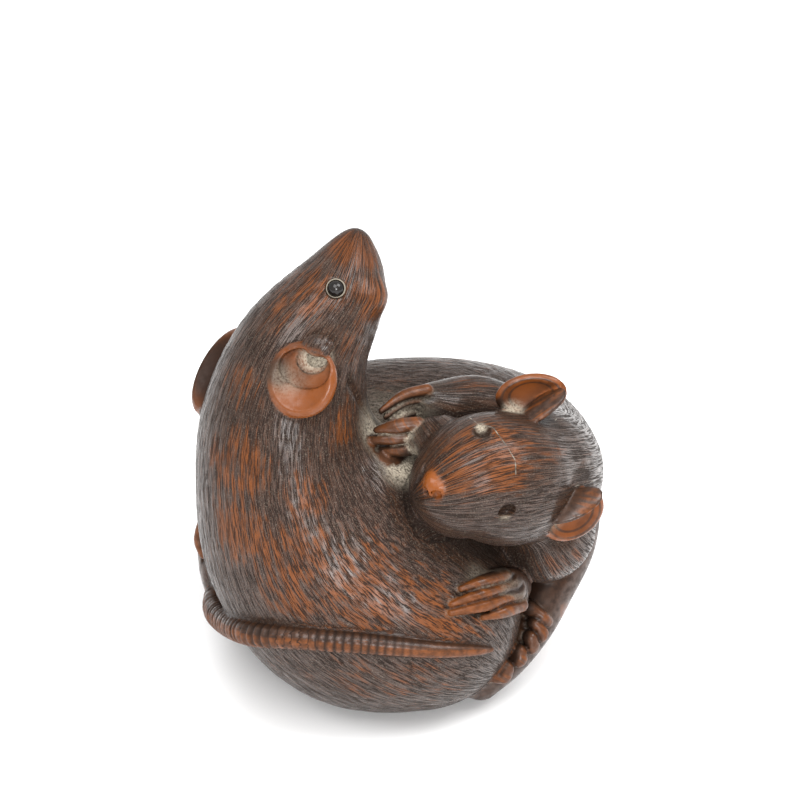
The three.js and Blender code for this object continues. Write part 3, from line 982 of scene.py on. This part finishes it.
def coat_group():
    """Hair cut with a graver: long fine strokes that lie along the comb line."""
    tree, given, out = new_group(
        "graver strokes",
        [("Comb", "NodeSocketVector"), ("Girth", "NodeSocketFloat"), ("Wear", "NodeSocketFloat")],
        [("Ridge", "NodeSocketFloat"), ("Lock", "NodeSocketFloat")],
    )
    vector = "ShaderNodeVectorMath"
    waves = {"Vector": given["Comb"], "Scale": 0.28, "Detail": 1.0}
    waver = put(tree, "ShaderNodeTexNoise", waves).outputs[1]
    waver = put(tree, vector, {0: waver, 1: (0.5, 0.5, 0.5)}, operation="SUBTRACT").outputs[0]
    waver = put(tree, vector, {0: waver, 3: STROKE_WAVER}, operation="SCALE").outputs[0]
    lie = put(tree, vector, {0: given["Comb"], 1: waver}, operation="ADD").outputs[0]
    cuts = []
    for fineness in (HEAD_STROKES, BODY_STROKES):
        cuts.append(noise(tree, stretched(tree, lie, STROKE_LENGTH, fineness), 1.0, 2.5, 0.65))
    thick = ramp(tree, given["Girth"], *BODY_GIRTH)
    level = calc(tree, "MULTIPLY_ADD", given["Wear"], WEAR_ON_RIDGES, blended(tree, thick, *cuts))
    ridge = ramp(tree, level, *RIDGE_LEVELS)
    lock = noise(tree, stretched(tree, lie, 0.33, 2.4), 1.0, 2.5, 0.65)
    tree.links.new(ridge, out["Ridge"])
    tree.links.new(ramp(tree, lock, 0.32, 0.68), out["Lock"])
    return tree


def line_group():
    """Distance from one straight stretch of a fine line."""
    tree, given, out = new_group(
        "stretch of a fine line",
        [("Place", "NodeSocketVector"), ("Start", "NodeSocketVector"), ("Run", "NodeSocketVector")],
        [("Gap", "NodeSocketFloat")],
    )
    vector = "ShaderNodeVectorMath"
    offset = put(tree, vector, {0: given["Place"], 1: given["Start"]}, operation="SUBTRACT").outputs[0]
    ahead = put(tree, vector, {0: offset, 1: given["Run"]}, operation="DOT_PRODUCT").outputs["Value"]
    whole = put(tree, vector, {0: given["Run"], 1: given["Run"]}, operation="DOT_PRODUCT").outputs["Value"]
    share = calc(tree, "DIVIDE", ahead, whole, clamp=True)
    along = put(tree, vector, {0: given["Run"], 3: share}, operation="SCALE").outputs[0]
    aside = put(tree, vector, {0: offset, 1: along}, operation="SUBTRACT").outputs[0]
    tree.links.new(put(tree, vector, {0: aside}, operation="LENGTH").outputs["Value"], out["Gap"])
    return tree


def fine_line(tree, group, place, stations, width):
    """A mask of one fine line through the stations: 1 along its middle and 0 beyond its width, mm."""
    gap = FAR
    for start, end in zip(stations, stations[1:]):
        stretch = put(tree, "ShaderNodeGroup", {}, node_tree=group)
        tree.links.new(place, stretch.inputs["Place"])
        stretch.inputs["Start"].default_value = start
        stretch.inputs["Run"].default_value = [b - a for a, b in zip(start, end)]
        gap = calc(tree, "MINIMUM", gap, stretch.outputs["Gap"])
    return ramp(tree, gap, 0.3 * width, width, 1.0, 0.0)


AGE_CRACK = [[5.9, -7.0, 29.6], [6.7, -8.7, 29.8], [7.9, -9.0, 29.8], [8.5, -10.0, 29.5],
             [9.2, -10.9, 28.9], [9.8, -11.6, 28.1], [9.8, -12.3, 27.2]]
SCRATCHES = [
    [[13.4, -3.3, 26.9], [14.4, 0.9, 25.1]],
    [[15.0, -8.2, 23.3], [16.9, -4.8, 21.7]],
]
CRACK_WIDTH = 0.09  # mm, to each side
SCRATCH_WIDTH = 0.08
MASKS = ("girth", "bare", "tail", "ear", "ear_reach", "small_ear", "digit", "seam", "outline", "nose",
         "hollow", "edge", "worn", "dark", "dust")
# How much each mask adds to the rubbing that wears the stain off, or keeps from it.
RUBBED_MORE = {"digit": 0.6, "tail": 0.25, "edge": 0.35, "hollow": -0.9, "dark": -0.8}
PATCHES_RUBBED = 0.55  # how much broad patches change the rubbing
LOCKS_RUBBED = 0.9  # and how much locks of hair do
RELIEF = 0.06  # depth of the finest cuts, mm
ROUGHNESS = {"cut": 0.6, "ridge": 0.42, "nose": 0.22, "dust": 0.9}
COAT_ROUGHNESS = 0.25


def boxwood(strokes, stretch):
    """Stained boxwood: dark in the cuts, worn to orange where hands have rubbed it, dusty in the corners,
    with painted shade in the deepest corners and painted sheen in pale specks.
    """
    material = bpy.data.materials.new("stained boxwood")
    material.use_nodes = True
    tree = material.node_tree
    mask = {name: put(tree, "ShaderNodeAttribute", attribute_name=name).outputs["Fac"] for name in MASKS}
    mask["furred"] = calc(tree, "SUBTRACT", 1.0, mask["bare"])
    combed = put(tree, "ShaderNodeAttribute", attribute_name="comb").outputs["Vector"]
    place = put(tree, "ShaderNodeTexCoord").outputs["Object"]
    place = put(tree, "ShaderNodeVectorMath", {0: place, 3: 1 / MM}, operation="SCALE").outputs[0]
    cut = put(tree, "ShaderNodeGroup", {}, node_tree=strokes)
    tree.links.new(combed, cut.inputs["Comb"])
    tree.links.new(mask["girth"], cut.inputs["Girth"])
    tree.links.new(mask["worn"], cut.inputs["Wear"])

    # clouds in the finish from broad to fine; their scales are to a mm
    patches = noise(tree, place, 0.3, 3.0, 0.6)
    grain = noise(tree, place, 1.6, 2.0, 0.6)
    speck = noise(tree, place, 5.0, 2.0, 0.7)
    facets = noise(tree, place, 9.0, 1.0)

    # grooves between the rings of the tails
    along = put(tree, "ShaderNodeSeparateXYZ", {0: combed}).outputs[0]
    turn = calc(tree, "COSINE", calc(tree, "MULTIPLY", along, math.pi / TAIL_RING))
    groove = calc(tree, "POWER", calc(tree, "ABSOLUTE", turn), GROOVE_SHARPNESS)
    ring = calc(tree, "MULTIPLY", groove, mask["tail"])
    ring = calc(tree, "MULTIPLY", ring, ramp(tree, along, 30.0, 37.0, 1.0, 0.1))

    # worn ridges over dark cuts
    bare_ridge = ramp(tree, grain, 0.3, 0.68, 0.35, 1.0)
    ridge = blended(tree, mask["bare"], cut.outputs["Ridge"], bare_ridge)
    ridge = calc(tree, "MULTIPLY", ridge, calc(tree, "SUBTRACT", 1.0, ring))
    patchy = ramp(tree, patches, 0.3, 0.7, -0.5, 0.5)
    rubbed = calc(tree, "MULTIPLY_ADD", patchy, PATCHES_RUBBED, mask["worn"])
    locked = calc(tree, "SUBTRACT", cut.outputs["Lock"], 0.5)
    rubbed = calc(tree, "MULTIPLY_ADD", locked, LOCKS_RUBBED, rubbed)
    for name, share in RUBBED_MORE.items():
        rubbed = calc(tree, "MULTIPLY_ADD", mask[name], share, rubbed)
    amount = ramp(tree, rubbed, 0.25, 1.15)
    high = mixed(tree, amount, BROWN_STAIN, WORN_WOOD)
    low = mixed(tree, calc(tree, "MULTIPLY", amount, 0.35), DARK_STAIN_AND_SHADE, BROWN_STAIN)
    base = mixed(tree, ridge, low, high)

    # polished ears with dark rings cut inside them, handled digits and nose, and dark seams and corners:
    # partly stain, and painted shade in the deepest hollows, the empty sockets and the big rat's ears
    polish = calc(tree, "MULTIPLY", mask["ear"], ramp(tree, mask["hollow"], 0.95, 0.4))
    polish = calc(tree, "MULTIPLY", polish, ramp(tree, patches, 0.3, 0.55, 0.55, 1.0))
    polish = calc(tree, "MULTIPLY", polish, ramp(tree, mask["dark"], 0.0, 1.0, 1.0, 0.25))
    for reach in EAR_RINGS:
        away = calc(tree, "ABSOLUTE", calc(tree, "SUBTRACT", mask["ear_reach"], reach))
        arc = calc(tree, "MULTIPLY", ramp(tree, away, 0.015, 0.06, 0.8, 0.0), mask["small_ear"])
        polish = calc(tree, "MULTIPLY", polish, calc(tree, "SUBTRACT", 1.0, arc))
    base = mixed(tree, polish, base, POLISHED_WOOD)
    handled = calc(tree, "MULTIPLY", mask["digit"], ramp(tree, mask["hollow"], 0.4, 0.8, 0.3, 0.0))
    base = mixed(tree, handled, base, WORN_WOOD)
    base = mixed(tree, mask["nose"], base, NOSE_WOOD)
    # the deepest hollows and the dark places are pulled towards near black: partly stain, partly painted
    # shade
    shut = calc(tree, "MAXIMUM", mask["seam"], ramp(tree, mask["hollow"], 0.75, 1.0, 0.0, 0.8))
    shut = calc(tree, "MAXIMUM", shut, ramp(tree, mask["dark"], 0.6, 1.0, 0.0, 0.75))
    base = mixed(tree, shut, base, DARK_STAIN_AND_SHADE)

    # dust, pale specks of painted sheen and dust on the unworn hair, and the fine lines of age
    crack = fine_line(tree, stretch, place, AGE_CRACK, CRACK_WIDTH)
    for scratch in SCRATCHES:
        crack = calc(tree, "MAXIMUM", crack, fine_line(tree, stretch, place, scratch, SCRATCH_WIDTH))
    crack_colour = mixed(tree, ramp(tree, grain, 0.35, 0.6, 0.15, 0.55), DARK_STAIN_AND_SHADE, DUST_AND_SHEEN)
    base = mixed(tree, crack, base, crack_colour)
    settled_dust_and_sheen = calc(tree, "MULTIPLY", mask["dust"], ramp(tree, mask["hollow"], 0.1, 0.6, 0.4, 1.0))
    settled_dust_and_sheen = calc(tree, "MULTIPLY", settled_dust_and_sheen, blended(tree, mask["digit"], 1.0, mask["seam"]))
    line_dust = calc(tree, "MULTIPLY", mask["outline"], ramp(tree, mask["dust"], 0.15, 0.6, 0.15, 0.9))
    settled_dust_and_sheen = calc(tree, "MAXIMUM", settled_dust_and_sheen, line_dust)
    settled_dust_and_sheen = calc(tree, "MULTIPLY", settled_dust_and_sheen, ramp(tree, speck, 0.3, 0.6, 0.2, 1.0))
    # pale specks on the unworn hair: partly dust in the cuts, partly a painted sheen of tiny facets
    dust_and_sheen_specks = calc(tree, "MULTIPLY", ramp(tree, facets, 0.56, 0.72), calc(tree, "SUBTRACT", 1.0, amount))
    dust_and_sheen_specks = calc(tree, "MULTIPLY", dust_and_sheen_specks, mask["furred"])
    settled_dust_and_sheen = calc(tree, "MAXIMUM", settled_dust_and_sheen, calc(tree, "MULTIPLY", dust_and_sheen_specks, 0.14))
    base = mixed(tree, settled_dust_and_sheen, base, DUST_AND_SHEEN)

    # gloss, least on worn wood, in the corners and under dust and the pale specks
    stained = calc(tree, "MULTIPLY_ADD", amount, -0.5, 0.8)
    gloss = calc(tree, "MULTIPLY", ridge, calc(tree, "SUBTRACT", stained, settled_dust_and_sheen), clamp=True)
    gloss = calc(tree, "MULTIPLY", gloss, ramp(tree, mask["hollow"], 0.2, 0.6, 1.0, 0.1))
    gloss = calc(tree, "MULTIPLY", gloss, ramp(tree, mask["dark"], 0.5, 1.0, 1.0, 0.2))
    rough = blended(tree, ridge, ROUGHNESS["cut"], ROUGHNESS["ridge"])
    rough = blended(tree, mask["nose"], rough, ROUGHNESS["nose"])
    rough = blended(tree, settled_dust_and_sheen, rough, ROUGHNESS["dust"])

    # relief of the strokes, the grain, the seams and the crack
    cuts = calc(tree, "MULTIPLY", cut.outputs["Ridge"], mask["furred"])
    height = calc(tree, "MULTIPLY_ADD", grain, 0.25, cuts)
    height = calc(tree, "MULTIPLY_ADD", calc(tree, "MULTIPLY", facets, mask["furred"]), 0.9, height)
    height = calc(tree, "MULTIPLY_ADD", calc(tree, "MAXIMUM", mask["seam"], crack), -1.0, height)
    bump = put(tree, "ShaderNodeBump", {"Strength": 0.9, "Distance": RELIEF * MM, "Height": height})
    shader = tree.nodes["Principled BSDF"]
    tree.links.new(base, shader.inputs["Base Color"])
    tree.links.new(rough, shader.inputs["Roughness"])
    tree.links.new(bump.outputs[0], shader.inputs["Normal"])
    tree.links.new(gloss, shader.inputs["Coat Weight"])
    shader.inputs["Coat Roughness"].default_value = COAT_ROUGHNESS
    shader.inputs["Specular IOR Level"].default_value = 0.15
    return material


def plain(name, colour, roughness):
    """A material of one colour, as a ground for more or for the table."""
    material = bpy.data.materials.new(name)
    material.use_nodes = True
    shader = material.node_tree.nodes["Principled BSDF"]
    shader.inputs["Base Color"].default_value = colour
    shader.inputs["Roughness"].default_value = roughness
    return material


HORN_CLOUD = (0.012, 0.009, 0.008, 1)
CLOUDS_TO_A_METRE = 900
HORN_ROUGHNESS = [0.05, 0.08]  # clear, and in a cloud


def horn():
    """Black horn, polished, with faint brown clouds in it."""
    material = plain("black horn", BLACK_HORN, HORN_ROUGHNESS[0])
    tree = material.node_tree
    shader = tree.nodes["Principled BSDF"]
    place = put(tree, "ShaderNodeTexCoord").outputs["Object"]
    cloud = ramp(tree, noise(tree, place, CLOUDS_TO_A_METRE), 0.4, 0.7)
    tree.links.new(mixed(tree, cloud, BLACK_HORN, HORN_CLOUD), shader.inputs["Base Color"])
    tree.links.new(ramp(tree, cloud, 0, 1, *HORN_ROUGHNESS), shader.inputs["Roughness"])
    shader.inputs["Specular IOR Level"].default_value = 0.4
    return material


# ---------------------------------------------------------------- eyes
EYE_SIDES = 48
# Height above the socket's rim and radius, mm, of the inlay, from the top of its dome down to its pin, and
# of the pale ring round it.
EYE_PROFILE = [
    (0.42, 0.0), (0.41, 0.12), (0.375, 0.26), (0.31, 0.4), (0.22, 0.52), (0.1, 0.62), (-0.03, 0.69),
    (-0.14, 0.72), (-0.5, 0.72), (-0.62, 0.6), (-0.65, 0.3), (-0.65, 0.0),
]
RIM_PROFILE = [(-0.2, 0.72), (0.0, 0.74), (0.02, 0.78), (0.0, 0.82), (-0.08, 0.86), (-0.2, 0.86)]


def turned(profile, closed):
    """A profile turned about the eye's axis: its vertices, and the triangles or quads between its rings."""
    angles = np.linspace(0, 2 * math.pi, EYE_SIDES, endpoint=False)
    vertices, faces = [], []
    for height, radius in profile:
        if radius:
            vertices.append([(radius * math.cos(a), radius * math.sin(a), height) for a in angles])
        else:
            vertices.append([(0.0, 0.0, height)])
    starts = np.cumsum([0, *[len(row) for row in vertices]])
    pairs = list(zip(range(len(profile)), range(1, len(profile))))
    if closed:
        pairs.append((len(profile) - 1, 0))
    for upper, lower in pairs:
        for i in range(EYE_SIDES):
            after = (i + 1) % EYE_SIDES
            top = [starts[upper] + j for j in ((i, after) if profile[upper][1] else (0,))]
            low = [starts[lower] + j for j in ((after, i) if profile[lower][1] else (0,))]
            faces.append([*top[::-1], *low[::-1]])
    return [v for row in vertices for v in row], faces


def eye_piece(name, horn_look, pale_ring_look):
    """One turned inlay, seated in the big rat's head with a pale ring round it."""
    centre, outward = EYE_PLACES[name]
    dome, dome_faces = turned(EYE_PROFILE, False)
    rim, rim_faces = turned(RIM_PROFILE, True)
    mesh = bpy.data.meshes.new(name + "_inlay")
    faces = dome_faces + [[i + len(dome) for i in face] for face in rim_faces]
    mesh.from_pydata(dome + rim, [], faces)
    mesh.materials.append(horn_look)
    mesh.materials.append(pale_ring_look)
    for polygon in mesh.polygons:
        polygon.material_index = int(polygon.index >= len(dome_faces))
    mesh.shade_smooth()
    stand = Vector(outward).to_track_quat("Z", "Y").to_matrix().to_4x4()
    seat = Matrix.Translation(Vector(centre) * MM) @ stand @ Matrix.Scale(MM, 4)
    mesh.transform(seat)
    return piece_of(name + "_inlay", mesh)


# ---------------------------------------------------------------- the pieces
carving = carved_piece()
carving.data.materials.append(boxwood(coat_group(), line_group()))
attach(carving, "root")
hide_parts("rats_carving")

horn_look = horn()
pale_ring_look = plain("pale ring round an eye", PALE_RING_COLOUR, 0.55)
for eye_name in EYE_PLACES:
    eye = eye_piece(eye_name, horn_look, pale_ring_look)
    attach(eye, "root")
    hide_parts(eye_name)

# ---------------------------------------------------------------- table, light and camera
HALF_TABLE = 3.0  # metres
PALE_CARD = (0.96, 0.96, 0.96, 1)
ROOM_LIGHT = 0.84
CAMERA_HEIGHT_ANGLE = math.radians(32)
CAMERA_DISTANCE = 0.42
LENS_LENGTH = 217.35  # mm, behind it a sensor 36 mm wide
LOOKED_AT = Vector((0, 0, 0.0269))

table_mesh = bpy.data.meshes.new("pale_table")
table_corners = [(x * HALF_TABLE, y * HALF_TABLE, 0) for x, y in ((-1, -1), (1, -1), (1, 1), (-1, 1))]
table_mesh.from_pydata(table_corners, [], [(0, 1, 2, 3)])
table = piece_of("pale_table", table_mesh)
table.data.materials.append(plain("pale card", PALE_CARD, 0.9))

world = bpy.data.worlds.new("white studio")
bpy.context.scene.world = world
world.use_nodes = True
world.node_tree.nodes["Background"].inputs[0].default_value = (1, 1, 1, 1)
world.node_tree.nodes["Background"].inputs[1].default_value = ROOM_LIGHT


def softbox(name, azimuth, elevation, distance, size, watts):
    """A square lamp that faces the carving, placed round it by degrees; azimuth 0 is the camera's side."""
    lamp = bpy.data.lights.new(name, "AREA")
    lamp.shape, lamp.size, lamp.energy = "SQUARE", size, watts
    turn, rise = math.radians(azimuth), math.radians(elevation)
    away = Vector((math.sin(turn) * math.cos(rise), -math.cos(turn) * math.cos(rise), math.sin(rise)))
    made = bpy.data.objects.new(name, lamp)
    made.location = LOOKED_AT + away * distance
    made.rotation_euler = away.to_track_quat("Z", "Y").to_euler()
    bpy.context.scene.collection.objects.link(made)


softbox("key_softbox", azimuth=80, elevation=58, distance=0.6, size=0.35, watts=2.6)
softbox("front_softbox", azimuth=6, elevation=23, distance=0.65, size=0.22, watts=2.2)
softbox("top_softbox", azimuth=-25, elevation=62, distance=0.6, size=0.4, watts=2.4)

lens = bpy.data.cameras.new("camera")
lens.sensor_width, lens.lens = 36, LENS_LENGTH
lens.clip_start, lens.clip_end = 0.01, 20
camera = bpy.data.objects.new("camera", lens)
back = Vector((0, -math.cos(CAMERA_HEIGHT_ANGLE), math.sin(CAMERA_HEIGHT_ANGLE)))
camera.location = LOOKED_AT + back * CAMERA_DISTANCE
camera.rotation_euler = back.to_track_quat("Z", "Y").to_euler()
bpy.context.scene.collection.objects.link(camera)
bpy.context.scene.camera = camera
bpy.context.scene.view_settings.view_transform = "Standard"
